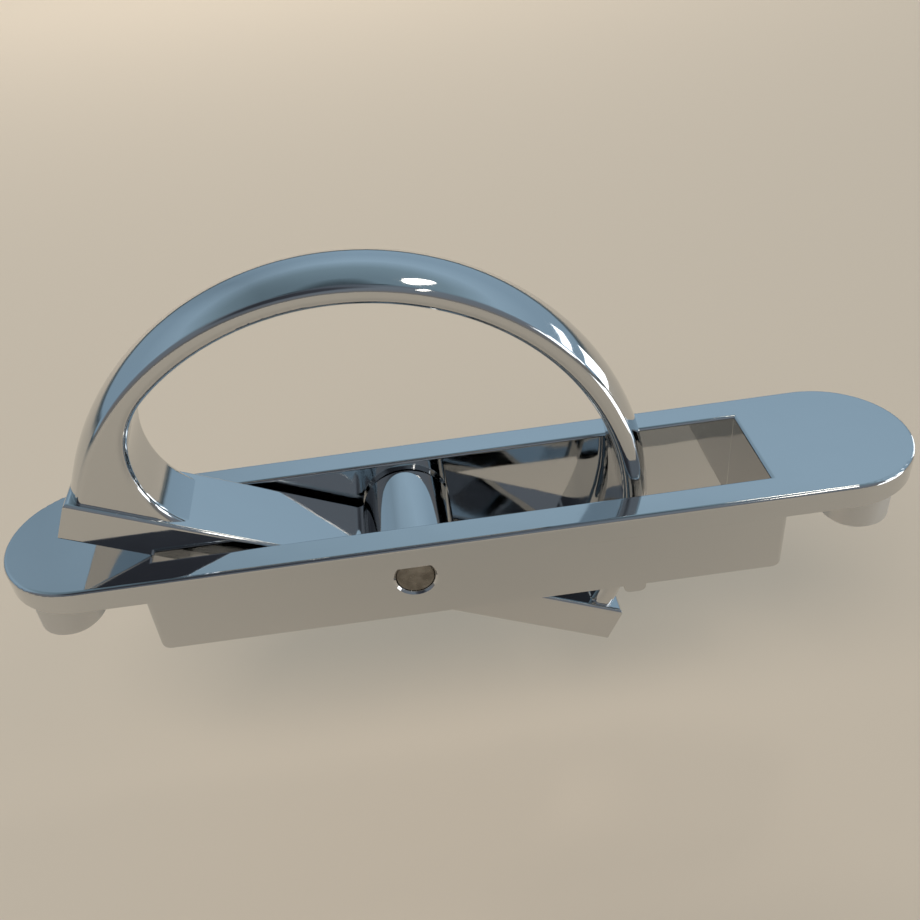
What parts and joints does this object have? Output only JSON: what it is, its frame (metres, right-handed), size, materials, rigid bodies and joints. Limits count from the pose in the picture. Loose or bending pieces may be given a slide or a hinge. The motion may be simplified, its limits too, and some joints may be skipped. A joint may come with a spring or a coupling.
{
  "type": "recessed pull handle",
  "caption": "Flip-out flush pull: a long chromed plate with a slotted housing and rear studs, and a D-shaped grip that turns on a cross pin until its flat bar closes the slot.",
  "frame": {"origin": "middle of the plate's seating face, half way between the two posts and in the middle of the housing", "axes": "+Z out of the door through the plate, +X along the plate towards the far end of the slot, +Y across it"},
  "size_m": [0.14, 0.026, 0.0708],
  "materials": {
    "plated_body": "polished",
    "plated_grip": "polished",
    "pin_steel": "turned"
  },
  "bodies": {
    "mounting_plate": {"faceplate": "plated_body", "pivot_pin": "pin_steel"},
    "pull": {"grip": "plated_grip"}
  },
  "joints": [
    {"name": "grip_turn", "type": "hinge", "parent": "mounting_plate", "child": "pull", "pos_m": [-0.0079, 0, -0.0045], "axis": [0, 1, 0], "range_deg": [0, 155.58]}
  ]
}
